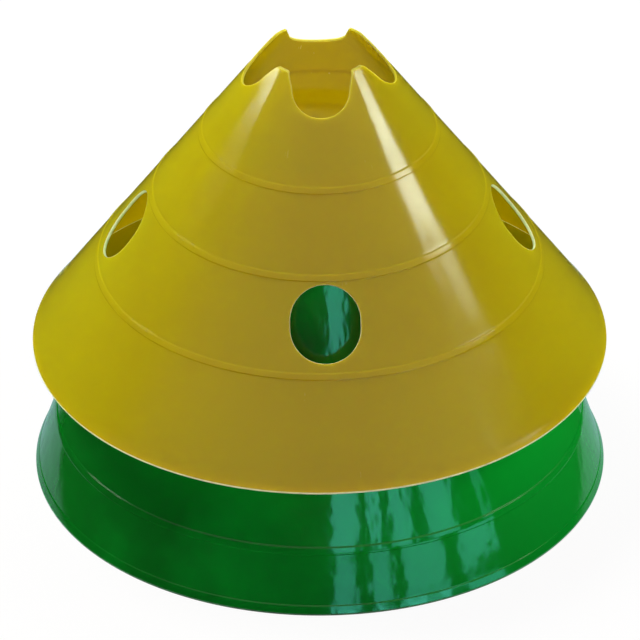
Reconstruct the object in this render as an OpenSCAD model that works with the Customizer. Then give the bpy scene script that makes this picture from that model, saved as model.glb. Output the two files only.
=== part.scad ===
// Two stacked marker cones for sports training, standing on the lower cone's rim.
// The upper cone lifts straight off. The origin is on the ground, on the common axis.

/* [Both cones] */
// Outer diameter of each cone's ground rim
rim_d = 300; // [260:1:340]
// Thickness of the moulded walls
wall_t = 1.5; // [1.3:0.1:2.4]
// Height of the upright edge at the foot of each rim lip
lip_edge_h = 1.2; // [0.8:0.1:2]
// Radial height of the moulded rings and lips over the wall
ring_proud = 0.5; // [0.3:0.1:0.8]

/* [Upper cone] */
// Height of the upper cone
upper_h = 172; // [160:1:190]
// Outer diameter of its open top
upper_top_d = 55; // [50:1:64]
// Height of its rim lip
upper_lip_h = 3.5; // [2.5:0.1:5]
// How far its rim lip reaches out past the foot of the wall
upper_lip_reach = 2.2; // [1.5:0.1:4]
// Width of its foot, which turns in level under the wall
upper_foot_w = 18; // [12:0.5:22]
// Height of each moulded ring
upper_ring_h = 3.2; // [2:0.1:5]
// Ring centres, as shares of the upper cone's height
upper_ring_shares = [0.282, 0.518, 0.727];
// Width of its pole notches at their round bottoms
upper_notch_w = 30; // [24:1:32]
// Depth of its pole notches, along the wall
upper_notch_depth = 21; // [18:0.5:26]
// Angle by which the sides of its notches flare out, in degrees
upper_notch_flare = 10; // [0:1:20]
// Width of the pole holes in its sides
hole_w = 36; // [28:1:40]
// How much longer than wide they are, down the wall
hole_stretch = 4; // [1:0.5:8]
// Height of the hole centres over the upper rim
hole_z = 70; // [60:1:80]

/* [Lower cone] */
// Height of the lower cone
lower_h = 172; // [160:1:190]
// Height of its rim lip
lower_lip_h = 4.5; // [3:0.1:6]
// Height of the knee, where its wall turns further in
knee_z = 32; // [26:1:40]
// How far the knee lies inside the rim
knee_inset = 11.3; // [9:0.1:14]
// Height of the moulded ring that follows the knee
lower_ring_h = 4.4; // [3:0.1:6]
// Outer diameter of the upright collar that carries the upper cone
collar_d = 159; // [150:1:166]
// Height of the collar
collar_h = 18; // [16:0.5:24]
// Width of the round pole notches in the collar
collar_notch_w = 42; // [38:1:48]
// Depth of the pole notches in the collar
collar_notch_depth = 16; // [12:0.5:18]
// Width of the sloped seat on the collar's edge
seat_w = 1; // [0.6:0.1:1.2]
// Gap between the seat and the upper cone's inner wall
seat_gap = 0.3; // [0.2:0.05:0.6]

/* [Hidden] */
$fn = 128;

pole_sides = 4;

// Directions of the pole holes: right, left and front, but none at the back
hole_turns = [0, 180, 270];
cut_in = 14;
cut_out = 6;
notch_overrun = 14;

rim_r = rim_d / 2;

// Slope of the upper wall: radius lost for each unit of height
upper_foot_r = rim_r - upper_lip_reach;
upper_top_r = upper_top_d / 2;
upper_slope = (upper_foot_r - upper_top_r) / (upper_h - upper_lip_h);
upper_lean = atan(upper_slope);
upper_wall_across = wall_t / cos(upper_lean);

// Outer and inner radius of the upper wall at a height over its own rim
function upper_out(z) = upper_foot_r - upper_slope * (z - upper_lip_h);
function upper_in(z) = upper_out(z) - upper_wall_across;

// Inner radius of the turned-in foot
upper_foot_in_r = upper_in(0) - upper_foot_w;

// Slopes of the lower cone's rim band and of its main wall
knee_r = rim_r - knee_inset;
collar_r = collar_d / 2;
fold_z = lower_h - collar_h;
band_slope = (rim_r - knee_r) / knee_z;
main_slope = (knee_r - collar_r) / (fold_z - knee_z);
band_across = wall_t / cos(atan(band_slope));
main_across = wall_t / cos(atan(main_slope));

function band_out(z) = knee_r + band_slope * (knee_z - z);
function main_out(z) = knee_r - main_slope * (z - knee_z);

// The inner knee, where the two inner wall lines cross
inner_knee_z = knee_z + (main_across - band_across) / (band_slope - main_slope);
inner_knee_r = band_out(inner_knee_z) - band_across;

// The inner fold, where the inner wall meets the inside of the collar
inner_collar_r = collar_r - wall_t;
inner_fold_z = knee_z + (knee_r - main_across - inner_collar_r) / main_slope;

// The seat follows the upper cone's inner wall, so the collar's height sets the rise
seat_rise = seat_w / upper_slope;
seat_gap_across = seat_gap / cos(upper_lean);
seat_run = upper_foot_r - upper_wall_across - seat_gap_across - collar_r;
seat_z_in_upper = upper_lip_h + seat_run / upper_slope;
stack_rise = lower_h - seat_rise - seat_z_in_upper;

// Corners of a ring of height h, centred at height z on the upper wall
function upper_ring(z, h) = [
    [upper_out(z - h / 2), z - h / 2],
    [upper_out(z - h / 2 + ring_proud) + ring_proud, z - h / 2 + ring_proud],
    [upper_out(z + h / 2 - ring_proud) + ring_proud, z + h / 2 - ring_proud],
    [upper_out(z + h / 2), z + h / 2]
];

upper_outline = concat(
    [
        [upper_foot_in_r, 0],
        [rim_r, 0],
        [rim_r, lip_edge_h],
        [upper_out(upper_lip_h) + ring_proud, upper_lip_h],
        [upper_out(upper_lip_h + ring_proud), upper_lip_h + ring_proud]
    ],
    [for (share = upper_ring_shares) each upper_ring(share * upper_h, upper_ring_h)],
    [
        [upper_top_r, upper_h],
        [upper_in(upper_h), upper_h],
        [upper_in(wall_t), wall_t],
        [upper_foot_in_r, wall_t]
    ]
);

lower_ring_foot = knee_z - lower_ring_h / 2;
lower_ring_head = knee_z + lower_ring_h / 2;

lower_outline = [
    [band_out(0) - band_across, 0],
    [rim_r, 0],
    [rim_r, lip_edge_h],
    [band_out(lower_lip_h) + ring_proud, lower_lip_h],
    [band_out(lower_lip_h + ring_proud), lower_lip_h + ring_proud],
    [band_out(lower_ring_foot), lower_ring_foot],
    [band_out(lower_ring_foot + ring_proud) + ring_proud, lower_ring_foot + ring_proud],
    [knee_r + ring_proud, knee_z],
    [main_out(lower_ring_head - ring_proud) + ring_proud, lower_ring_head - ring_proud],
    [main_out(lower_ring_head), lower_ring_head],
    [collar_r, fold_z],
    [collar_r, lower_h - seat_rise],
    [collar_r - seat_w, lower_h],
    [inner_collar_r, lower_h],
    [inner_collar_r, inner_fold_z],
    [inner_knee_r, inner_knee_z]
];

// Places a cutter on a wall: its Z is the outward normal and its X runs down the wall
module on_wall(turn, r, z, lean) {
    rotate([0, 0, turn])
        translate([r, 0, z])
            rotate([0, 90 - lean, 0])
                children();
}

// A slot of width w, with its two round ends set apart by stretch down the wall
module slot_cutter(w, stretch) {
    translate([0, 0, -cut_in])
        linear_extrude(cut_in + cut_out) {
            translate([-stretch / 2, 0]) circle(d = w);
            translate([stretch / 2, 0]) circle(d = w);
            translate([-stretch / 2, -w / 2]) square([stretch, w]);
        }
}

// A notch of width w with a round bottom, open upwards, whose sides flare out towards its mouth
module notch_cutter(w, depth, flare) {
    half = w / 2;
    reach = depth - half + notch_overrun;
    mouth_half = half + reach * tan(flare);
    translate([0, 0, -cut_in])
        linear_extrude(cut_in + cut_out) {
            circle(r = half);
            polygon([[0, -half], [0, half], [-reach, mouth_half], [-reach, -mouth_half]]);
        }
}

module lower_cone() {
    notch_mid_z = lower_h - collar_notch_depth + collar_notch_w / 2;
    color("#0a7a26")
        difference() {
            rotate_extrude() polygon(lower_outline);
            for (i = [0 : pole_sides - 1])
                on_wall(i * 360 / pole_sides, collar_r, notch_mid_z, 0)
                    notch_cutter(collar_notch_w, collar_notch_depth, 0);
        }
}

module upper_cone() {
    notch_mid_z = upper_h - (upper_notch_depth - upper_notch_w / 2) * cos(upper_lean);
    color("#b3a40f")
        translate([0, 0, stack_rise])
            difference() {
                rotate_extrude() polygon(upper_outline);
                for (i = [0 : pole_sides - 1])
                    on_wall(i * 360 / pole_sides, upper_out(notch_mid_z), notch_mid_z, upper_lean)
                        notch_cutter(upper_notch_w, upper_notch_depth, upper_notch_flare);
                for (turn = hole_turns)
                    on_wall(turn, upper_out(hole_z), hole_z, upper_lean)
                        slot_cutter(hole_w, hole_stretch);
            }
}

lower_cone();
upper_cone();
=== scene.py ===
"""A stack of two marker cones for sports training.

The upper cone rests on the lower one and lifts straight off it. Each cone is one thin moulded wall. It is
modelled as a quarter that is spun from its wall line, cut out, copied round the axis, thickened, and finished
with its moulded rings, its rim lip and rounded edges. All lengths are in metres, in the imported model's frame.
"""

import logging
import math
from dataclasses import dataclass, field
from enum import Enum
from typing import Callable

import bmesh
import bpy
from bmesh.types import BMEdge, BMesh, BMFace, BMVert
from mathutils import Matrix, Vector


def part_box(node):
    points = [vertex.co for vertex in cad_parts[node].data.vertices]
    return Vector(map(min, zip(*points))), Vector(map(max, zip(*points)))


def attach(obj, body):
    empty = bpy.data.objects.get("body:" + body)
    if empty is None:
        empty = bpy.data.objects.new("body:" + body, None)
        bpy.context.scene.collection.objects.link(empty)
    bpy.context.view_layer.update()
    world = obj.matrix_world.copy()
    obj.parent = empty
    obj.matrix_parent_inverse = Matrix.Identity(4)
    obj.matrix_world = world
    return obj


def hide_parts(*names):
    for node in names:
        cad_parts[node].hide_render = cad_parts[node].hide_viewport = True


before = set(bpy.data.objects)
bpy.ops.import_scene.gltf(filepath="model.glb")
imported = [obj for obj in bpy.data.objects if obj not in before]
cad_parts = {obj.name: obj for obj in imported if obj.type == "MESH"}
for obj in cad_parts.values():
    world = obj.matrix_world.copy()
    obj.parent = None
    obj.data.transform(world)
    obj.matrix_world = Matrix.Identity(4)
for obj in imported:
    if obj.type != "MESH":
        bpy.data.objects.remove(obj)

LOG = logging.getLogger("marker_cones")
MM = 0.001
QUARTER_TURN = math.pi / 2
# Columns of faces in a quarter of a wall
COLUMNS = 72
# How near two places, and two directions in radians, count as one
TOUCH = 0.02 * MM
TURN_TOUCH = 1e-4
# Rounds in which a point settles on a wall
ROUNDS = 12
# Angles from which an edge of a wall, and a crease of a lip, are rounded
SHARP = math.radians(50)
CREASE = math.radians(15)
LIP_ROUND = 0.2 * MM
# How high the flat foot counts as such, and how wide the rounding at its rim
FOOT_ZONE = 2 * MM
RIM_ZONE = 0.4 * MM
PLASTIC_IOR = 1.5

Point = tuple[float, float]
Colour = tuple[float, float, float]
Element = BMVert | BMEdge | BMFace
Socket = bpy.types.NodeSocket
Source = Socket | float | tuple[float, ...]
Inputs = dict[int | str, Source]
WHITE: Colour = (1.0, 1.0, 1.0)


class Slot(Enum):
    """The record's material slots for the two finishes."""

    YELLOW = "yellow_plastic"
    GREEN = "green_plastic"


class Face(Enum):
    """The material places of a cone's mesh."""

    SKIN = 0
    EDGE = 1


class Side(Enum):
    """The two faces of a wall, by the way that they look."""

    OUTER = 1
    INNER = -1


class Kind(Enum):
    """The kinds of mesh element, by where an edit mesh keeps them."""

    VERT = "verts"
    EDGE = "edges"
    FACE = "faces"


# Working on the mesh by hand


def to_object_mode() -> None:
    """Leave edit mode, with nothing selected."""
    if bpy.context.object is not None and bpy.context.object.mode != "OBJECT":
        bpy.ops.object.mode_set(mode="OBJECT")
    bpy.ops.object.select_all(action="DESELECT")


def take_up(piece: bpy.types.Object) -> None:
    """Make a piece the only selected object and the active one.

    Args:
        piece: The mesh object.
    """
    to_object_mode()
    piece.select_set(True)
    bpy.context.view_layer.objects.active = piece


def apply_modifier(piece: bpy.types.Object, kind: str, **settings: object) -> None:
    """Add a modifier to a piece and apply it at once.

    Args:
        piece: The mesh object.
        kind: The modifier's type.
        **settings: The modifier's settings by name.
    """
    take_up(piece)
    modifier = piece.modifiers.new(kind.title(), kind)
    for name, value in settings.items():
        setattr(modifier, name, value)
    bpy.ops.object.modifier_apply(modifier=modifier.name)


def azimuth(point: Vector) -> float:
    """Give the direction of a point round the axis, in radians."""
    return math.atan2(point.y, point.x)


def radius(point: Vector) -> float:
    """Give the distance of a point from the axis."""
    return math.hypot(point.x, point.y)


def direction(turn: float, rise: float) -> Vector:
    """Give the unit vector of a direction round the axis and over the ground, both in radians."""
    return Vector((math.cos(turn) * math.cos(rise), math.sin(turn) * math.cos(rise), math.sin(rise)))


def at_radius(point: Vector, distance: float, height: float) -> Vector:
    """Give the point at a distance from the axis and a height, in the direction of another point."""
    scale = distance / radius(point)
    return Vector((point.x * scale, point.y * scale, height))


def span(low: float, high: float, steps: int) -> list[float]:
    """Give the ends of a number of equal steps from low to high, both included."""
    return [low + (high - low) * i / steps for i in range(steps + 1)]


# The wall line, the cut-outs and the rings


@dataclass(frozen=True)
class WallLine:
    """The outer wall line of a cone, as straight spans from its foot to its top edge.

    Attributes:
        corners: Radius and height of each corner, upwards.
        thickness: Thickness of the wall behind the line.
    """

    corners: tuple[Point, ...]
    thickness: float

    def _span(self, z: float) -> tuple[Point, Point]:
        """Give the two corners of the span that holds a height."""
        spans = tuple(zip(self.corners, self.corners[1:]))
        return next((held for held in spans if z <= held[1][1]), spans[-1])

    def slope(self, z: float) -> float:
        """Give the radius lost for each unit of height, at a height."""
        low, high = self._span(z)
        return (low[0] - high[0]) / (high[1] - low[1])

    def lean(self, z: float) -> float:
        """Give the wall's lean from upright at a height, in radians."""
        return math.atan(self.slope(z))

    def outer(self, z: float) -> float:
        """Give the outer radius at a height."""
        low, _ = self._span(z)
        return low[0] - self.slope(z) * (z - low[1])

    def inner(self, z: float) -> float:
        """Give the inner radius at a height, on the same span."""
        return self.outer(z) - self.thickness / math.cos(self.lean(z))

    def top(self) -> float:
        """Give the height of the top edge."""
        return self.corners[-1][1]


@dataclass(frozen=True)
class CutOut:
    """A pole notch or pole hole, cut square to the wall, centred on the azimuth of +X.

    Its outline is drawn in the wall's tangent plane, down and across from a centre. Down is along the wall.
    The outline is a half circle below the centre line. A hole has another one above it, and a notch is open.

    Attributes:
        centre: Height of the outline's centre on the outer wall.
        half_width: Half the width, which is the radius of the round ends.
        foot: Height of the row of the wall under the cut-out.
        head: Height of the row of the wall over it.
        columns: How many columns of the wall it takes out to each side of its middle.
        shares: How far the wall's edge comes towards the outline at each step of filling in.
        half_stretch: Half of how much longer than wide a hole is.
        flare: How much wider a notch gets to each side, for each unit of height along the wall.
        opens_up: Whether the cut-out runs out through the top edge.
        behind: Whether the back of the cone has it too.
    """

    centre: float
    half_width: float
    foot: float
    head: float
    columns: int
    shares: tuple[float, ...]
    half_stretch: float = 0.0
    flare: float = 0.0
    opens_up: bool = True
    behind: bool = True

    def axes(self, wall: WallLine) -> tuple[Vector, Vector, Vector]:
        """Give the centre on the wall, the way down it and the way out of it.

        Args:
            wall: The wall that is cut.

        Returns:
            The centre, the unit vector down the wall and the unit vector square to it.
        """
        lean = wall.lean(self.centre)
        return (
            Vector((wall.outer(self.centre), 0, self.centre)),
            Vector((math.sin(lean), 0, -math.cos(lean))),
            Vector((math.cos(lean), 0, math.sin(lean))),
        )

    def onto_wall(self, down: float, across: float, wall: WallLine) -> Vector:
        """Give the point of the outer wall that lies square behind a place of the outline's plane.

        Args:
            down: Place down the wall from the centre.
            across: Place across it.
            wall: The wall that is cut.

        Returns:
            The point on the outer wall.
        """
        centre, along, out = self.axes(wall)
        point = centre + along * down + Vector((0, across, 0))
        for _ in range(ROUNDS):
            point = point - out * (radius(point) - wall.outer(point.z)) * out.x
        return point

    def edge(self, down: float, across: float) -> Point:
        """Give the outline's point that a place is drawn towards.

        Args:
            down: Place down the wall from the centre.
            across: Place across it.

        Returns:
            The point of the outline, down and across.
        """
        if self.opens_up and down < 0:
            return down, math.copysign(self.half_width - down * self.flare, across)
        stretch = max(-self.half_stretch, min(self.half_stretch, down))
        rest = down - stretch
        reach = math.hypot(rest, across)
        return stretch + rest / reach * self.half_width, across / reach * self.half_width

    def towards(self, point: Vector, share: float, wall: WallLine) -> Vector:
        """Give the point of the wall part of the way from a point to the outline.

        Args:
            point: A point of the wall.
            share: The part of the way, from 0 to 1.
            wall: The wall that is cut.

        Returns:
            The point on the outer wall.
        """
        centre, along, _ = self.axes(wall)
        down, across = (point - centre).dot(along), point.y
        goal_down, goal_across = self.edge(down, across)
        down, across = down + (goal_down - down) * share, across + (goal_across - across) * share
        if self.opens_up and point.z > wall.top() - TOUCH:
            rim = wall.outer(wall.top())
            return Vector((math.sqrt(rim * rim - across * across), across, wall.top()))
        return self.onto_wall(down, across, wall)


@dataclass(frozen=True)
class Ring:
    """A moulded ring that stands a little proud of the outer wall.

    Attributes:
        centre: Height of its middle.
        height: Its height, ramps included.
        proud: How far it stands out.
        ramp: Height of each ramp.
        ramp_rows: How many rows of the wall shape each ramp.
    """

    centre: float
    height: float
    proud: float = 0.4 * MM
    ramp: float = 0.7 * MM
    ramp_rows: int = 5

    def rows(self) -> list[float]:
        """Give the heights of the wall's rows that shape the ring."""
        low, high = self.centre - self.height / 2, self.centre + self.height / 2
        return span(low, low + self.ramp, self.ramp_rows) + span(high - self.ramp, high, self.ramp_rows)

    def relief(self, z: float) -> float:
        """Give how far the ring stands out at a height, with eased ramps."""
        share = max(0.0, min(1.0, (self.height / 2 - abs(z - self.centre)) / self.ramp))
        return self.proud * share * share * (3 - 2 * share)


@dataclass(frozen=True)
class Lip:
    """The lip round a cone's foot.

    Attributes:
        rim: Outer radius of the lip.
        edge: Height of its upright edge.
        height: Height of the lip.
        proud: How far its head stands out from the wall.
        ramp: Height of the ramp from its head back to the wall.
    """

    rim: float
    edge: float
    height: float
    proud: float
    ramp: float = 0.5 * MM


# Finishes


class Nodes:
    """The node tree of a material or a world, filled from the surface backwards."""

    def __init__(self, owner: bpy.types.Material | bpy.types.World) -> None:
        """Start with the shader that a new material or world has.

        Args:
            owner: The material or the world.
        """
        self.owner = owner
        owner.use_nodes = True
        self.tree = owner.node_tree
        kinds = ("BSDF_PRINCIPLED", "BACKGROUND")
        self.shader = next(node for node in self.tree.nodes if node.type in kinds)

    def add(self, kind: str, inputs: Inputs | None = None, **settings: object) -> bpy.types.Node:
        """Add a node and fill its sockets.

        Args:
            kind: The node's type, without the word that all of them begin with.
            inputs: Values or output sockets by input name or number.
            **settings: The node's own settings by name.

        Returns:
            The new node.
        """
        node = self.tree.nodes.new(f"ShaderNode{kind}")
        for name, value in settings.items():
            setattr(node, name, value)
        self.feed(node, inputs or {})
        return node

    def feed(self, node: bpy.types.Node, inputs: Inputs) -> None:
        """Set sockets of a node to values, or link outputs into them.

        Args:
            node: The node.
            inputs: Values or output sockets by input name or number.
        """
        for key, value in inputs.items():
            if isinstance(value, Socket):
                self.tree.links.new(value, node.inputs[key])
            else:
                node.inputs[key].default_value = value

    def place(self) -> Socket:
        """Give the coordinates of the piece's own mesh."""
        return self.add("TexCoord").outputs["Object"]

    def math(self, operation: str, first: Source, second: Source = 0.0) -> Socket:
        """Add a Math node and give its output."""
        return self.add("Math", {0: first, 1: second}, operation=operation).outputs[0]

    def vector(self, operation: str, *values: Source, output: str = "Vector") -> Socket:
        """Add a Vector Math node and give one of its outputs."""
        return self.add("VectorMath", dict(enumerate(values)), operation=operation).outputs[output]

    def ease(self, value: Source, low: float, high: float, to_low: float = 0.0, to_high: float = 1.0) -> Socket:
        """Map a value smoothly from one range to another, held at its ends."""
        inputs = dict(enumerate((value, low, high, to_low, to_high)))
        return self.add("MapRange", inputs, interpolation_type="SMOOTHSTEP").outputs["Result"]

    def mix(self, share: Source, first: Source, second: Source) -> Socket:
        """Mix two colours, each a link or plain, by a share."""
        ends = [end if isinstance(end, Socket) else (*end, 1.0) for end in (first, second)]
        return self.add("Mix", {0: share, 6: ends[0], 7: ends[1]}, data_type="RGBA").outputs[2]

    def noise(self, at: Source, scale: float, detail: float = 2.0, distortion: float = 0.0) -> Socket:
        """Add a noise and give its value, from 0 to 1."""
        inputs = {"Vector": at, "Scale": scale, "Detail": detail, "Distortion": distortion}
        return self.add("TexNoise", inputs).outputs["Fac"]

    def bump(self, height: Source, strength: float = 1.0, distance: float = 1.0) -> Socket:
        """Add a Bump node and give its normal."""
        inputs = {"Strength": strength, "Distance": distance, "Height": height}
        return self.add("Bump", inputs).outputs["Normal"]

    def round_the_axis(self, spin: float, rise: float) -> Socket:
        """Give coordinates that follow a cone's wall, seamless round the axis.

        Args:
            spin: How many units one turn of the unit circle's radius counts for.
            rise: How many units a metre of height counts for.

        Returns:
            The coordinates.
        """
        place = self.place()
        turn = self.vector("NORMALIZE", self.vector("MULTIPLY", place, (1.0, 1.0, 0.0)))
        across = self.vector("MULTIPLY", turn, (spin, spin, 0.0))
        return self.vector("ADD", across, self.vector("MULTIPLY", place, (0.0, 0.0, rise)))


@dataclass(frozen=True)
class MouldedPlastic:
    """Glossy moulded polyethylene, a little wavy and worn.

    Attributes:
        name: The material's name.
        colour: Its colour.
        deep: The colour of its darker patches at random, and of its painted shade on the side towards -X.
        shade_drift: How fast the painted shade grows towards -X, for each metre, as the noise of the darker
            patches falls along +X.
        upper_tone_and_light: Its colour higher up. On the green cone this is a lighter green, painted light
            where the upper cone shades the wall. On the yellow cone it is a slightly less red tone.
        upper_tone_and_light_from: Height from which it begins to take that colour.
        upper_tone_and_light_ramp: Height over which it takes it.
        roughness: Roughness where it is clean.
        scuffed: Roughness where it is scuffed.
        scuff_from: Level of the noise from which it is scuffed.
        wave: Depth of the moulding's waves, in metres.
        ripple: Depth of its ripples, in metres.
        hairlines: Depth of the hairline scratches, in metres.
        through: How much of the light goes through the wall, from 0 to 1.
        depth: How deep light goes into the plastic, in metres.
        spread: How deep its red, green and blue go, as shares of that depth.
    """

    name: str
    colour: Colour
    deep: Colour
    shade_drift: float
    upper_tone_and_light: Colour
    upper_tone_and_light_from: float
    upper_tone_and_light_ramp: float
    roughness: float
    scuffed: float
    scuff_from: float
    wave: float
    ripple: float
    hairlines: float
    through: float
    depth: float
    spread: Colour = (1.0, 0.85, 0.3)

    def build(self) -> bpy.types.Material:
        """Make the material.

        Returns:
            The new material.
        """
        nodes = Nodes(bpy.data.materials.new(self.name))
        place = nodes.place()

        # Darker patches at random with painted shade growing towards -X, and a colour higher up that paints
        # light on the green cone
        ways = nodes.add("SeparateXYZ", {0: place}).outputs
        patches = nodes.noise(nodes.round_the_axis(spin=1.0, rise=9.0), scale=2.2, detail=3.0)
        # Painted shade: the darker colour grows towards -X, the side that gets less light
        along = nodes.math("MULTIPLY", ways["X"], self.shade_drift)
        dense_and_shaded = nodes.ease(nodes.math("SUBTRACT", patches, along), low=0.45, high=0.8)
        # Painted light: higher up the green cone takes a lighter colour, where the upper cone shades its wall
        upper_tone_and_light = nodes.ease(ways["Z"], self.upper_tone_and_light_from, self.upper_tone_and_light_from + self.upper_tone_and_light_ramp)
        colour = nodes.mix(upper_tone_and_light, nodes.mix(dense_and_shaded, self.colour, self.deep), self.upper_tone_and_light)

        # Smeared scuffs on a fine grain
        patch = nodes.noise(place, scale=55.0, detail=4.0, distortion=0.6)
        smear = nodes.noise(nodes.round_the_axis(spin=30.0, rise=14.0), scale=3.0, detail=4.0)
        scuff = nodes.math("MULTIPLY", nodes.ease(patch, self.scuff_from, 0.78), nodes.ease(smear, 0.4, 0.65))
        grain = nodes.math("MULTIPLY", nodes.noise(place, scale=900.0, detail=1.0), 0.06)
        rough = nodes.math("ADD", nodes.ease(scuff, 0.0, 1.0, self.roughness, self.scuffed), grain)

        # Hairline scratches here and there, along the middle contour of a noise
        scratch = nodes.noise(nodes.round_the_axis(spin=26.0, rise=22.0), scale=1.6, distortion=1.4)
        contour = nodes.math("ABSOLUTE", nodes.math("SUBTRACT", scratch, 0.5))
        where = nodes.ease(nodes.noise(place, scale=38.0), low=0.58, high=0.66)
        line = nodes.math("MULTIPLY", nodes.ease(contour, 0.0, 0.006, to_low=1.0, to_high=0.0), where)
        rough = nodes.math("MAXIMUM", nodes.math("SUBTRACT", rough, 0.03), nodes.math("MULTIPLY", line, 0.22))

        # The moulding's waves and ripples, less the scratches
        waves = nodes.noise(nodes.round_the_axis(spin=1.0, rise=7.0), scale=3.4, detail=1.0)
        ripple = nodes.noise(nodes.round_the_axis(spin=9.0, rise=45.0), scale=2.0, detail=1.0)
        height = nodes.math("MULTIPLY", waves, self.wave)
        height = nodes.math("ADD", height, nodes.math("MULTIPLY", ripple, self.ripple))
        height = nodes.math("SUBTRACT", height, nodes.math("MULTIPLY", line, self.hairlines))

        inputs = {
            "Base Color": colour,
            "Roughness": rough,
            "Normal": nodes.bump(height),
            "IOR": PLASTIC_IOR,
            "Subsurface Weight": self.through,
            "Subsurface Radius": self.spread,
            "Subsurface Scale": self.depth,
        }
        nodes.feed(nodes.shader, inputs)
        return nodes.owner


@dataclass(frozen=True)
class CutEdge:
    """A rounded edge, painted paler as a painted highlight, where light also passes out through the wall.

    Attributes:
        name: The material's name.
        colour: Its colour, paler than the wall's, which makes it a painted highlight.
        head: Its colour at the top of the cone, which on the yellow cone is the plain yellow without the
            painted highlight.
        head_from: Height from which it takes that colour.
        roughness: Its roughness.
        through: How much of the light spreads through the wall.
        depth: How far that light spreads.
        head_ramp: Height over which it takes the colour at the top.
        dulled: How bright its duller patches are, as a share.
        grain: How much rougher its grain is.
    """

    name: str
    colour: Colour
    head: Colour
    head_from: float
    roughness: float
    through: float = 0.0
    depth: float = 8 * MM
    head_ramp: float = 10 * MM
    dulled: float = 0.8
    grain: float = 0.1

    def build(self) -> bpy.types.Material:
        """Make the material.

        Returns:
            The new material.
        """
        nodes = Nodes(bpy.data.materials.new(self.name))
        place = nodes.place()
        dull = tuple(self.dulled * part for part in self.colour)
        mottle = nodes.ease(nodes.noise(place, scale=160.0, detail=3.0), low=0.35, high=0.7)
        height = nodes.add("SeparateXYZ", {0: place}).outputs["Z"]
        over = nodes.ease(height, self.head_from, self.head_from + self.head_ramp)
        grain = nodes.noise(place, scale=600.0)
        inputs = {
            # The paler colour paints a highlight along the edge; above head_from the head colour takes over
            "Base Color": nodes.mix(over, nodes.mix(mottle, self.colour, dull), self.head),
            "Roughness": nodes.ease(grain, 0.3, 0.7, self.roughness, self.roughness + self.grain),
            "Normal": nodes.bump(grain, strength=0.4, distance=0.05 * MM),
            "Subsurface Weight": self.through,
            "Subsurface Radius": WHITE,
            "Subsurface Scale": self.depth,
        }
        nodes.feed(nodes.shader, inputs)
        return nodes.owner


# The cones


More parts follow.
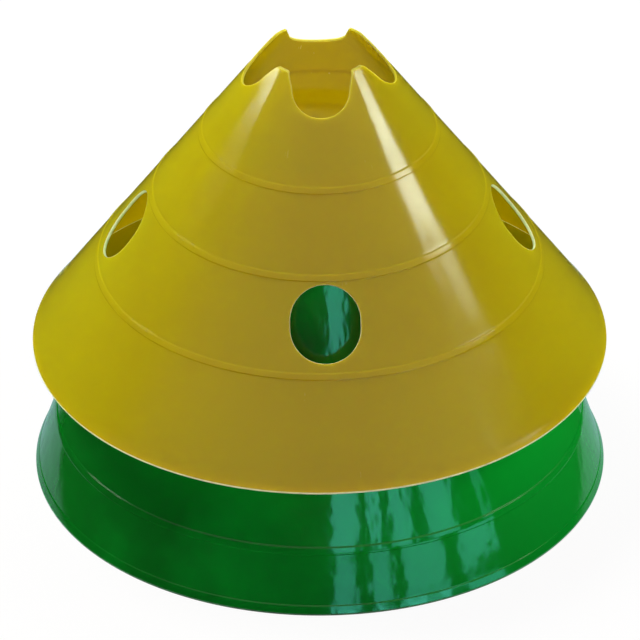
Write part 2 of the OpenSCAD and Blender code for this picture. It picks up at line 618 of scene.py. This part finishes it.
@dataclass
class Cone:
    """One marker cone: a thin moulded wall with four cut-outs of each kind.

    Attributes:
        name: The piece's name.
        body: The body that it rides on, which is also the node that it stands for.
        slot: The record's material slot of its finish; not used.
        wall: Its outer wall line, in its own frame, with the foot at height zero.
        rise: Height of its foot in the model's frame.
        lip: The lip round its foot.
        rings: Its moulded rings.
        cuts: Its cut-outs.
        rows: Heights of the further rows of the wall.
        skin: The finish of its faces.
        edge: The finish of its cut edges, painted paler as a highlight.
        foot_in: Inner radius of its turned-in foot, or zero where the foot is plain.
        seat: How much lower the outer side of its top edge lies than the inner side.
        tip_round: Radius of the corners where a notch meets the top edge.
        edge_round: Radius of the rounded edges.
    """

    name: str
    body: str
    slot: Slot
    wall: WallLine
    rise: float
    lip: Lip
    rings: tuple[Ring, ...]
    cuts: tuple[CutOut, ...]
    rows: tuple[float, ...]
    skin: MouldedPlastic
    edge: CutEdge
    foot_in: float = 0.0
    seat: float = 0.0
    tip_round: float = 2 * MM
    edge_round: float = 0.35 * MM
    piece: bpy.types.Object = field(init=False)

    def mesh(self) -> BMesh:
        """Give the mesh under edit, with its normals up to date.

        Returns:
            The edit mesh.
        """
        mesh = bmesh.from_edit_mesh(self.piece.data)
        mesh.normal_update()
        return mesh

    def pick(self, kind: Kind, wanted: Callable[[Element], bool]) -> None:
        """Select just the elements of a kind that pass a test.

        Args:
            kind: The kind of element.
            wanted: The test on each element.
        """
        bpy.ops.mesh.select_mode(type=kind.name)
        bpy.ops.mesh.select_all(action="DESELECT")
        picked = [element for element in getattr(self.mesh(), kind.value) if wanted(element)]
        for element in picked:
            element.select_set(True)
        bmesh.update_edit_mesh(self.piece.data)

    def move(self, place: Callable[[Vector], Vector]) -> None:
        """Move each selected vertex to a place worked out from where it is.

        Args:
            place: Gives a vertex's new place from its old one.
        """
        for vert in self.mesh().verts:
            if vert.select:
                vert.co = place(vert.co)
        bmesh.update_edit_mesh(self.piece.data)

    def levels(self) -> list[float]:
        """Give the heights of all rows of the wall, upwards and each once.

        Returns:
            The heights.
        """
        heights = {0.0, self.wall.top(), *self.rows}
        for ring in self.rings:
            heights.update(ring.rows())
        for cut in self.cuts:
            heights.update((cut.foot, cut.head))
        levels = sorted(heights)
        return [z for i, z in enumerate(levels) if i == 0 or z - levels[i - 1] > TOUCH]

    def side(self, point: Vector) -> Side:
        """Give the side of the wall that a point is nearer to."""
        middle = (self.wall.outer(point.z) + self.wall.inner(point.z)) / 2
        return Side.OUTER if radius(point) > middle else Side.INNER

    def sides(self, element: BMEdge | BMFace) -> set[Side]:
        """Give the sides of the wall that the vertices of an edge or face lie on."""
        return {self.side(vert.co) for vert in element.verts}

    def draw_line(self) -> None:
        """Draw the outer wall line, from one vertex drawn out along a turned-in foot and up row by row."""
        to_object_mode()
        bpy.ops.mesh.primitive_plane_add(size=MM)
        self.piece = bpy.context.object
        self.piece.name = self.name
        self.piece.data.name = self.name
        for finish in (self.skin, self.edge):
            self.piece.data.materials.append(finish.build())
        bpy.ops.object.mode_set(mode="EDIT")
        bpy.ops.mesh.select_all(action="SELECT")
        bpy.ops.mesh.merge(type="CENTER")
        side = Matrix.Rotation(QUARTER_TURN / 2, 3, "Z")
        foot = [side @ Vector((self.foot_in, 0, 0))] if self.foot_in else []
        places = foot + [side @ Vector((self.wall.outer(z), 0, z)) for z in self.levels()]
        self.pick(Kind.VERT, lambda vert: True)
        self.move(lambda place: places[0])
        for low, high in zip(places, places[1:]):
            bpy.ops.mesh.extrude_region_move(TRANSFORM_OT_translate={"value": high - low})

    def spin_quarter(self) -> None:
        """Spin the line into a quarter of the wall, with the +X direction in its middle."""
        bpy.ops.mesh.select_all(action="SELECT")
        bpy.ops.mesh.spin(steps=COLUMNS, angle=QUARTER_TURN, center=(0, 0, 0), axis=(0, 0, 1))
        bpy.ops.mesh.select_all(action="SELECT")
        bpy.ops.mesh.remove_doubles(threshold=TOUCH)

    def cut_out(self, cut: CutOut) -> None:
        """Take a block of faces out of the quarter and draw its edge in to the cut-out's outline.

        Args:
            cut: The cut-out.
        """
        half_turn = QUARTER_TURN * cut.columns / COLUMNS + TURN_TOUCH
        low, high, top = cut.foot - TOUCH, cut.head + TOUCH, self.wall.top() - TOUCH

        def inside(point: Vector) -> bool:
            """Tell whether a point lies in the block."""
            return low < point.z < high and abs(azimuth(point)) < half_turn

        def on_gap(edge: BMEdge) -> bool:
            """Tell whether an edge borders the gap and isn't of the top edge."""
            ends = [vert.co for vert in edge.verts]
            return edge.is_boundary and all(map(inside, ends)) and min(end.z for end in ends) <= top

        self.pick(Kind.FACE, lambda face: inside(face.calc_center_median()))
        bpy.ops.mesh.delete(type="FACE")
        self.pick(Kind.EDGE, on_gap)
        done = 0.0
        for share in cut.shares:
            bpy.ops.mesh.extrude_edges_move()
            step = (share - done) / (1 - done)
            self.move(lambda place: cut.towards(place, step, self.wall))
            done = share

    def copy_to_back(self) -> None:
        """Copy the quarter to the back, before the other sides get the cut-outs that the back hasn't."""
        bpy.ops.mesh.select_all(action="SELECT")
        bpy.ops.mesh.spin(steps=1, angle=3 * QUARTER_TURN, center=(0, 0, 0), axis=(0, 0, 1), dupli=True)

    def copy_to_sides(self) -> None:
        """Copy the right quarter to the front and the left, and join the four along their sides."""
        self.pick(Kind.FACE, lambda face: abs(azimuth(face.calc_center_median())) < QUARTER_TURN / 2)
        bpy.ops.mesh.spin(steps=2, angle=2 * QUARTER_TURN, center=(0, 0, 0), axis=(0, 0, 1), dupli=True)
        bpy.ops.mesh.select_mode(type="VERT")
        bpy.ops.mesh.select_all(action="SELECT")
        bpy.ops.mesh.remove_doubles(threshold=TOUCH)
        bpy.ops.mesh.select_all(action="SELECT")
        bpy.ops.mesh.normals_make_consistent(inside=False)
        highest = max(self.mesh().faces, key=lambda face: face.calc_center_median().z)
        if highest.normal.dot(highest.calc_center_median()) < 0:
            bpy.ops.mesh.flip_normals()

    def thicken(self) -> None:
        """Give the wall its thickness, inwards, and set its foot and its top edge level."""
        wall, top, ground = self.wall, self.wall.top(), 0.3 * self.wall.thickness
        settings = {"offset": -1, "use_even_offset": True, "use_quality_normals": True}
        apply_modifier(self.piece, "SOLIDIFY", thickness=wall.thickness, **settings)
        bpy.ops.object.mode_set(mode="EDIT")

        def is_foot(vert: BMVert) -> bool:
            """Tell whether a vertex is of the inner foot."""
            return vert.co.z < -TOUCH or (self.side(vert.co) is Side.INNER and vert.co.z < ground)

        def is_outer_top(vert: BMVert) -> bool:
            """Tell whether a vertex is of the outer top edge."""
            return self.side(vert.co) is Side.OUTER and vert.co.z > top - TOUCH

        def is_inner_top(vert: BMVert) -> bool:
            """Tell whether a vertex is the inner partner of one of the outer top edge."""
            partners = [edge.other_vert(vert) for edge in vert.link_edges]
            return self.side(vert.co) is Side.INNER and any(map(is_outer_top, partners))

        if not self.foot_in:
            self.pick(Kind.VERT, is_foot)
            self.move(lambda place: at_radius(place, wall.inner(0.0), 0.0))
        self.pick(Kind.VERT, is_inner_top)
        self.move(lambda place: at_radius(place, wall.inner(top), top))
        if self.seat:
            self.pick(Kind.VERT, is_outer_top)
            bpy.ops.transform.translate(value=(0, 0, -self.seat))

    def raise_rings(self) -> None:
        """Push the outer rows of each ring out of the wall."""
        for ring in self.rings:
            self.pick(Kind.VERT, lambda vert: ring.relief(vert.co.z) > 0 and self.side(vert.co) is Side.OUTER)
            self.move(lambda place: at_radius(place, self.wall.outer(place.z) + ring.relief(place.z), place.z))

    def shape_lip(self) -> None:
        """Cut the lip's rows into the outer wall and bring them out to its shape."""
        lip = self.lip
        ramp_top = lip.height + lip.ramp

        def is_low(face: BMFace) -> bool:
            """Tell whether a face is of the outer wall near the foot."""
            return face.calc_center_median().z < ramp_top * 2 and self.sides(face) == {Side.OUTER}

        for z in (lip.edge, lip.height, ramp_top):
            self.pick(Kind.FACE, is_low)
            bpy.ops.mesh.bisect(plane_co=(0, 0, z), plane_no=(0, 0, 1))
        shape = {0.0: lip.rim, lip.edge: lip.rim, lip.height: self.wall.outer(lip.height) + lip.proud}
        for height, distance in shape.items():
            self.pick(Kind.VERT, lambda v: abs(v.co.z - height) < TOUCH and self.side(v.co) is Side.OUTER)
            self.move(lambda place: at_radius(place, distance, place.z))

    def is_lip_crease(self, edge: BMEdge) -> bool:
        """Tell whether an edge is a level crease of the lip's outer face, over its foot.

        Args:
            edge: The edge.

        Returns:
            True if it is.
        """
        low, high = sorted(vert.co.z for vert in edge.verts)
        held = self.lip.edge * 0.7 < low and high < self.lip.height + self.lip.ramp + TOUCH
        level = high - low < TOUCH and self.sides(edge) == {Side.OUTER}
        return held and level and edge.calc_face_angle(0) > CREASE

    def round_edges(self) -> None:
        """Round the notch corners, then all edges of the wall and the lip."""
        top = self.wall.top() - self.seat - TOUCH

        def is_tip(edge: BMEdge) -> bool:
            """Tell whether an edge is the corner of a notch at the top edge."""
            high = all(vert.co.z > top for vert in edge.verts)
            return high and len(self.sides(edge)) == 2 and edge.calc_face_angle(0) > SHARP

        self.pick(Kind.EDGE, is_tip)
        bpy.ops.mesh.bevel(offset=self.tip_round, segments=5, affect="EDGES", clamp_overlap=True)
        self.pick(Kind.EDGE, lambda edge: edge.calc_face_angle(0) > SHARP)
        bpy.ops.mesh.bevel(
            offset=self.edge_round, segments=3, affect="EDGES", clamp_overlap=True, material=Face.EDGE.value
        )
        self.pick(Kind.EDGE, self.is_lip_crease)
        bpy.ops.mesh.bevel(offset=LIP_ROUND, segments=2, affect="EDGES", clamp_overlap=True)

    def is_cut_face(self, face: BMFace) -> bool:
        """Tell whether a face is of a cut edge, or of the rounding of the rim.

        Args:
            face: The face.

        Returns:
            True if it is.
        """
        centre = face.calc_center_median()
        if centre.z < FOOT_ZONE:
            return centre.z < self.lip.edge and radius(centre) > self.lip.rim - RIM_ZONE
        out = direction(azimuth(centre), self.wall.lean(centre.z))
        return abs(out.dot(face.normal)) < math.cos(SHARP)

    def dress(self) -> None:
        """Give the cut edges and the rounding of the rim their finish, a painted highlight."""
        self.pick(Kind.FACE, self.is_cut_face)
        self.piece.active_material_index = Face.EDGE.value
        bpy.ops.object.material_slot_assign()

    def finish(self) -> None:
        """Move the cone up to its place, smooth it and join it to its body."""
        bpy.ops.mesh.select_all(action="SELECT")
        bpy.ops.transform.translate(value=(0, 0, self.rise))
        take_up(self.piece)
        bpy.ops.object.shade_smooth()
        apply_modifier(self.piece, "WEIGHTED_NORMAL", weight=50, mode="FACE_AREA", keep_sharp=False)
        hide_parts(self.body)
        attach(self.piece, self.body)

    def build(self) -> None:
        """Make the whole cone."""
        self.draw_line()
        self.spin_quarter()
        for cut in self.cuts:
            if cut.behind:
                self.cut_out(cut)
        self.copy_to_back()
        for cut in self.cuts:
            if not cut.behind:
                self.cut_out(cut)
        self.copy_to_sides()
        self.thicken()
        self.raise_rings()
        self.shape_lip()
        self.round_edges()
        self.dress()
        self.finish()
        LOG.info("%s: %d faces on body %s", self.name, len(self.piece.data.polygons), self.body)


# The sizes of both cones, each cone in its own frame
RIM = 149.85 * MM
WALL = 1.5 * MM
NOTCH_HALF = 15 * MM
UPPER_HEIGHT = 172 * MM
UPPER_LIP_HEIGHT = 3.5 * MM
UPPER_FOOT = 147.8 * MM
UPPER_TOP = 27.5 * MM
UPPER_SLOPE = (UPPER_FOOT - UPPER_TOP) / (UPPER_HEIGHT - UPPER_LIP_HEIGHT)
UPPER_LEAN = math.atan(UPPER_SLOPE)
LOWER_HEIGHT = 172 * MM
KNEE: Point = (138.7 * MM, 32 * MM)
COLLAR = 79.5 * MM
FOLD_HEIGHT = 154 * MM


def upper_cone() -> Cone:
    """Lay out the upper cone.

    Returns:
        The upper cone, ready to build.
    """
    wall = WallLine(((UPPER_FOOT + UPPER_SLOPE * UPPER_LIP_HEIGHT, 0.0), (UPPER_TOP, UPPER_HEIGHT)), WALL)
    rings = tuple(Ring(share * UPPER_HEIGHT, 3.4 * MM) for share in (0.282, 0.518, 0.727))
    hole = CutOut(
        centre=70 * MM,
        half_width=18 * MM,
        half_stretch=2 * MM,
        opens_up=False,
        behind=False,
        foot=50.9 * MM,
        head=87.1 * MM,
        columns=11,
        shares=(0.35, 1.0),
    )
    notch = CutOut(
        centre=UPPER_HEIGHT - 6 * MM * math.cos(UPPER_LEAN),
        half_width=NOTCH_HALF,
        flare=math.tan(math.radians(10)),
        foot=147.5 * MM,
        head=UPPER_HEIGHT,
        columns=33,
        shares=(0.25, 0.5, 1.0),
    )
    # The wall's rows between its rings, its holes and its notches
    rows = (
        *span(6 * MM, 45 * MM, 8),
        *span(hole.foot, hole.head, 14),
        *span(92.5 * MM, 121.5 * MM, 6),
        *span(128.5 * MM, notch.foot, 4),
        *span(notch.foot, 169.8 * MM, 12),
    )
    return Cone(
        name="yellow_cone",
        body="upper_cone",
        slot=Slot.YELLOW,
        wall=wall,
        rise=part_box("upper_cone")[0].z,
        foot_in=130.5 * MM,
        lip=Lip(RIM, 1.0 * MM, UPPER_LIP_HEIGHT, proud=0.15 * MM),
        rings=rings,
        cuts=(hole, notch),
        rows=rows,
        skin=MouldedPlastic(
            name="yellow_skin",
            colour=(0.465, 0.392, 0.0045),
            deep=(0.45, 0.37, 0.0055),
            shade_drift=0.0,
            upper_tone_and_light=(0.44, 0.382, 0.006),
            upper_tone_and_light_from=200 * MM,
            upper_tone_and_light_ramp=12 * MM,
            roughness=0.12,
            scuffed=0.3,
            scuff_from=0.55,
            wave=0.25 * MM,
            ripple=0.008 * MM,
            hairlines=0.006 * MM,
            through=1.0,
            depth=8 * MM,
        ),
        # The edge's pale colour is a painted highlight
        edge=CutEdge(
            name="yellow_edge",
            colour=(0.72, 0.86, 0.36),
            head=(0.47, 0.41, 0.02),
            head_from=200 * MM,
            roughness=0.4,
            through=1.0,
        ),
        edge_round=0.6 * MM,
    )


def lower_cone() -> Cone:
    """Lay out the lower cone.

    Returns:
        The lower cone, ready to build.
    """
    wall = WallLine(((RIM - 0.3 * MM, 0.0), KNEE, (COLLAR, FOLD_HEIGHT), (COLLAR, LOWER_HEIGHT)), WALL)
    notch = CutOut(
        centre=LOWER_HEIGHT + 5 * MM,
        half_width=21 * MM,
        foot=FOLD_HEIGHT,
        head=LOWER_HEIGHT,
        columns=15,
        shares=(0.35, 1.0),
    )
    rows = (
        *span(7 * MM, 27.5 * MM, 4),
        KNEE[1],
        *span(38 * MM, 148 * MM, 18),
        *span(FOLD_HEIGHT, 169.6 * MM, 6),
    )
    return Cone(
        name="green_cone",
        body="lower_cone",
        slot=Slot.GREEN,
        wall=wall,
        rise=0.0,
        lip=Lip(RIM, 0.9 * MM, 4.5 * MM, proud=0.3 * MM),
        rings=(Ring(KNEE[1], 4.4 * MM),),
        cuts=(notch,),
        rows=rows,
        seat=1.4 * MM,
        skin=MouldedPlastic(
            name="green_skin",
            colour=(0.001, 0.28, 0.019),
            # The darker colour and its drift along X paint shade on the side towards -X
            deep=(0.001, 0.142, 0.009),
            shade_drift=2.45,
            # The lighter colour higher up is painted light, where the upper cone shades this wall
            upper_tone_and_light=(0.001, 0.48, 0.03),
            upper_tone_and_light_from=20 * MM,
            upper_tone_and_light_ramp=90 * MM,
            roughness=0.1,
            scuffed=0.3,
            scuff_from=0.56,
            wave=0.35 * MM,
            ripple=0.2 * MM,
            hairlines=0.003 * MM,
            through=0.0,
            depth=1 * MM,
        ),
        # The edge's paler green is a painted highlight
        edge=CutEdge(
            name="green_edge",
            colour=(0.1, 0.42, 0.2),
            head=(0.1, 0.42, 0.2),
            head_from=150 * MM,
            roughness=0.3,
        ),
    )


# The studio


# The daylight of the window and the lamplight of the streaks
WINDOW_LIGHT: Colour = (0.6, 3.7, 3.25)
RIGHT_STREAK_LIGHT: Colour = (0.97, 1.04, 0.88)
LEFT_STREAK_LIGHT: Colour = (0.97, 1.04, 0.9)


class Adds(Enum):
    """What a lamp adds to the picture: shading, or only its image in the gloss."""

    SHADING = "shading"
    GLOSS = "gloss"


@dataclass(frozen=True)
class Lamp:
    """A soft rectangular lamp that looks at a point of the stack.

    Attributes:
        name: The lamp's name.
        adds: Whether it lights the stack or only shows in its gloss.
        azimuth: Its direction round the axis, in degrees from +X.
        elevation: Its direction over the ground, in degrees.
        distance: How far it stands from the point that it looks at.
        size: Its width and height.
        power: Its power in watts.
        colour: The colour of its light.
        aim: Height of the point that it looks at.
        tilt: How far it is turned in its own plane, in degrees.
    """

    name: str
    adds: Adds
    azimuth: float
    elevation: float
    distance: float
    size: Point
    power: float
    colour: Colour = WHITE
    aim: float = 0.14
    tilt: float = 0.0

    def place(self) -> None:
        """Make the lamp."""
        light = bpy.data.lights.new(self.name, "AREA")
        light.shape = "RECTANGLE"
        light.size, light.size_y = self.size
        light.energy = self.power
        light.color = self.colour
        lamp = bpy.data.objects.new(self.name, light)
        bpy.context.scene.collection.objects.link(lamp)
        way = direction(math.radians(self.azimuth), math.radians(self.elevation))
        lamp.location = Vector((0, 0, self.aim)) + way * self.distance
        turn = way.to_track_quat("Z", "Y").to_matrix() @ Matrix.Rotation(math.radians(self.tilt), 3, "Z")
        lamp.rotation_euler = turn.to_euler()
        lamp.visible_camera = False
        lamp.visible_glossy = self.adds is Adds.GLOSS
        lamp.visible_diffuse = self.adds is Adds.SHADING


@dataclass(frozen=True)
class Camera:
    """The camera, in the place that the fit to the photograph gives.

    Attributes:
        place: Where it stands.
        heading: The direction that it looks in, in degrees round the axis from +Y.
        pitch: How far it looks down, in degrees.
        roll: How far it is turned about its own axis, in degrees.
        lens: Its focal length in millimetres.
        shift: How far the picture is shifted across, as a share of its width.
        sensor: Width of its picture in millimetres.
        reach: The nearest and the furthest that it sees.
    """

    place: tuple[float, float, float] = (-0.0890, -2.9987, 1.9979)
    heading: float = -1.7
    pitch: float = 32.547
    roll: float = -0.118
    lens: float = 383.56
    shift: float = 0.388 / 640
    sensor: float = 36.0
    reach: Point = (0.1, 100.0)

    def build(self) -> None:
        """Make the camera and look through it."""
        data = bpy.data.cameras.new("camera")
        data.lens = self.lens
        data.sensor_width = self.sensor
        data.shift_x = self.shift
        data.clip_start, data.clip_end = self.reach
        camera = bpy.data.objects.new("camera", data)
        bpy.context.scene.collection.objects.link(camera)
        turn = (
            Matrix.Rotation(math.radians(self.heading), 4, "Z")
            @ Matrix.Rotation(math.radians(90 - self.pitch), 4, "X")
            @ Matrix.Rotation(math.radians(self.roll), 4, "Z")
        )
        camera.matrix_world = Matrix.Translation(self.place) @ turn
        bpy.context.scene.camera = camera


@dataclass(frozen=True)
class Studio:
    """The pale floor, the soft light and the camera.

    Attributes:
        lamps: The lamps round the stack.
        camera: The camera.
        surround: The colour of the room as light.
        mirrored: The colour of the room in the gloss.
        haze: The colour that the gloss shows of the room high in front.
        haze_from: The direction of its middle.
        haze_spread: How near to it the haze begins, and where it is full, as cosines.
        haze_foot: How steeply up the haze begins, and where it is full, as sines.
        paper: The colour in the gloss of the pale floor round the stack.
        under: Its colour in the gloss within the lower cone.
        under_blur: How soft the edge of that is, as a share.
        spot: The middle of the part of the floor that the gloss shows as pale.
        spot_reach: How far that part reaches.
        spot_blur: How soft its edge is, as a share.
        paper_seen: The floor's colour as the camera sees it.
        paper_white: How much of the floor is plain white to the camera, whatever falls on it.
        paper_lit: The floor's colour as a source of light from below.
        floor_size: Length of the floor's sides.
    """

    lamps: tuple[Lamp, ...]
    camera: Camera = Camera()
    surround: Colour = (0.1, 0.1, 0.1)
    mirrored: Colour = (0.015, 0.015, 0.015)
    haze: Colour = (0.47, 0.45, 0.43)
    haze_from: Colour = (0.3, -0.73, 0.61)
    haze_spread: Point = (-0.5, 1.0)
    haze_foot: Point = (0.33, 0.43)
    paper: Colour = (0.31, 0.52, 0.54)
    under: Colour = (0.012, 0.06, 0.07)
    under_blur: float = 0.02
    spot: Colour = (0.0, 0.08, 0.0)
    spot_reach: float = 0.201
    spot_blur: float = 0.03
    paper_seen: Colour = (0.8, 0.8, 0.8)
    paper_white: float = 0.94
    paper_lit: Colour = (0.78, 0.78, 0.78)
    floor_size: float = 60.0

    def room(self) -> None:
        """Make the room: white to the camera, dim in the gloss but for a haze in front, and even as light."""
        world = bpy.data.worlds.new("room")
        bpy.context.scene.world = world
        nodes = Nodes(world)
        way = nodes.add("TexCoord").outputs["Generated"]
        facing = nodes.vector("DOT_PRODUCT", way, self.haze_from, output="Value")
        over = nodes.add("SeparateXYZ", {0: way}).outputs["Z"]
        hazy = nodes.math("MULTIPLY", nodes.ease(facing, *self.haze_spread), nodes.ease(over, *self.haze_foot))
        path = nodes.add("LightPath").outputs
        level = nodes.mix(path["Is Glossy Ray"], self.surround, nodes.mix(hazy, self.mirrored, self.haze))
        nodes.feed(nodes.shader, {"Color": nodes.mix(path["Is Camera Ray"], level, WHITE)})

    def floor(self) -> None:
        """Make the plain pale floor, white to the camera but for a soft shadow."""
        to_object_mode()
        bpy.ops.mesh.primitive_plane_add(size=self.floor_size, location=(0, 0, 0))
        floor = bpy.context.object
        floor.name = "floor"
        nodes = Nodes(bpy.data.materials.new("floor"))
        path = nodes.add("LightPath").outputs
        paper = nodes.mix(path["Is Camera Ray"], self.paper_lit, self.paper_seen)
        nodes.feed(nodes.shader, {"Base Color": paper, "Roughness": 1.0, "Specular IOR Level": 0.0})
        white = nodes.add("Emission", {"Color": (*WHITE, 1.0)}).outputs[0]
        share = nodes.math("MULTIPLY", path["Is Camera Ray"], self.paper_white)
        seen = nodes.add("MixShader", {0: share, 1: nodes.shader.outputs[0], 2: white}).outputs[0]

        place = nodes.place()
        from_spot = nodes.vector("DISTANCE", place, self.spot, output="Value")
        edge = [self.spot_reach * (1 + blur) for blur in (-self.spot_blur, self.spot_blur)]
        near = nodes.ease(from_spot, *edge, to_low=1.0, to_high=0.0)
        from_axis = nodes.vector("LENGTH", place, output="Value")
        outside = nodes.ease(from_axis, (1 - self.under_blur) * RIM, RIM)
        shown = nodes.mix(outside, self.under, nodes.mix(near, self.mirrored, self.paper))
        shine = nodes.add("Emission", {"Color": shown}).outputs[0]
        surface = nodes.add("MixShader", {0: path["Is Glossy Ray"], 1: seen, 2: shine}).outputs[0]
        nodes.feed(nodes.tree.nodes["Material Output"], {"Surface": surface})
        floor.data.materials.append(nodes.owner)

    def build(self) -> None:
        """Make the whole studio."""
        bpy.context.scene.view_settings.view_transform = "Standard"
        self.room()
        self.floor()
        for lamp in self.lamps:
            lamp.place()
        self.camera.build()


def glow(level: float, size: Point, **rest: object) -> Lamp:
    """Lay out a lamp that only shows in the gloss.

    Args:
        level: How bright it looks there, where 1 is white paper in full light.
        size: Its width and height.
        **rest: Its other settings by name.

    Returns:
        The lamp.
    """
    return Lamp(adds=Adds.GLOSS, size=size, power=level * math.pi * size[0] * size[1], **rest)


def streaks() -> tuple[Lamp, ...]:
    """Lay out the lamps whose images are the bright streaks on the upper cone.

    Returns:
        Four steps of the right streak, narrower downwards, and the left streak.
    """
    distance, turn, elevation, tilt = 1.3, -6.6, 24.0, -22.0
    # Each step's place across and up from the streak's own, its width, its height and its level
    steps = (
        (-0.045, 0.086, 0.38, 0.064, 14.0),
        (-0.04, 0.014, 0.4, 0.046, 13.0),
        (0.05, -0.06, 0.18, 0.022, 5.0),
        (0.018, -0.083, 0.2, 0.032, 3.2),
    )
    right = (
        glow(
            level,
            (width, height),
            name=f"right_streak_{i + 1}",
            azimuth=turn + math.degrees(across / distance) / math.cos(math.radians(elevation)),
            elevation=elevation + math.degrees(up / distance),
            distance=distance,
            colour=RIGHT_STREAK_LIGHT,
            tilt=tilt,
        )
        for i, (across, up, width, height, level) in enumerate(steps)
    )
    left = {"name": "left_streak", "azimuth": 169.4, "elevation": 23.7, "distance": distance, "tilt": 23.0}
    return *right, glow(14.0, (0.44, 0.05), colour=LEFT_STREAK_LIGHT, **left)


def window() -> tuple[Lamp, ...]:
    """Lay out the window at the right front, which shows in the green gloss as panes with dark bars between.

    Returns:
        The panes from left to right.
    """
    # Each pane's left and right edge, in degrees round the axis, and its level
    upper = ((-87, -77.3, 1.0), (-70.6, -68, 1.3), (-62.4, -55, 1.0), (-48.2, -36.5, 0.85), (-25.5, -21.5, 0.4))
    lower = ((-87, -80.5, 0.8), (-75, -68.5, 0.8), (-64.5, -50.5, 0.8), (-44.5, -30.5, 0.8))
    # Each row's distance, the elevations of its foot and its head, and the height that it is seen from
    rows = (("upper", upper, 1.6, 4.0, 24.0, 0.06), ("lower", lower, 0.4, 0.2, 6.5, 0.0))
    lamps = []
    for row, panes, distance, foot, head, aim in rows:
        height = distance * math.radians(head - foot)
        for i, (left, right, level) in enumerate(panes):
            pane = glow(
                level,
                (distance * math.radians(right - left), height),
                name=f"{row}_pane_{i + 1}",
                azimuth=(left + right) / 2,
                elevation=(foot + head) / 2,
                distance=distance,
                colour=WINDOW_LIGHT,
                aim=aim,
            )
            lamps.append(pane)
    return tuple(lamps)


def studio() -> Studio:
    """Lay out the studio.

    Returns:
        The studio, ready to build.
    """
    return Studio(
        lamps=(
            Lamp("left_soft", Adds.SHADING, 150, 58, 2.0, (1.2, 1.2), power=49.0, colour=(0.97, 1.0, 0.9)),
            Lamp("right_soft", Adds.SHADING, 5, 25, 2.0, (1.2, 1.0), power=26.0),
            Lamp("back_soft", Adds.SHADING, 90, 30, 2.0, (1.6, 1.2), power=20.0),
            Lamp("front_soft", Adds.SHADING, -90, 30, 2.2, (1.4, 1.2), power=9.0, colour=(1.0, 0.1, 0.3)),
            *streaks(),
            *window(),
        )
    )


def main() -> None:
    """Build the stack and the studio."""
    logging.basicConfig(level=logging.INFO, format="%(name)s: %(message)s")
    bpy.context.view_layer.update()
    for cone in (lower_cone(), upper_cone()):
        cone.build()
    studio().build()


if __name__ == "__main__":
    main()
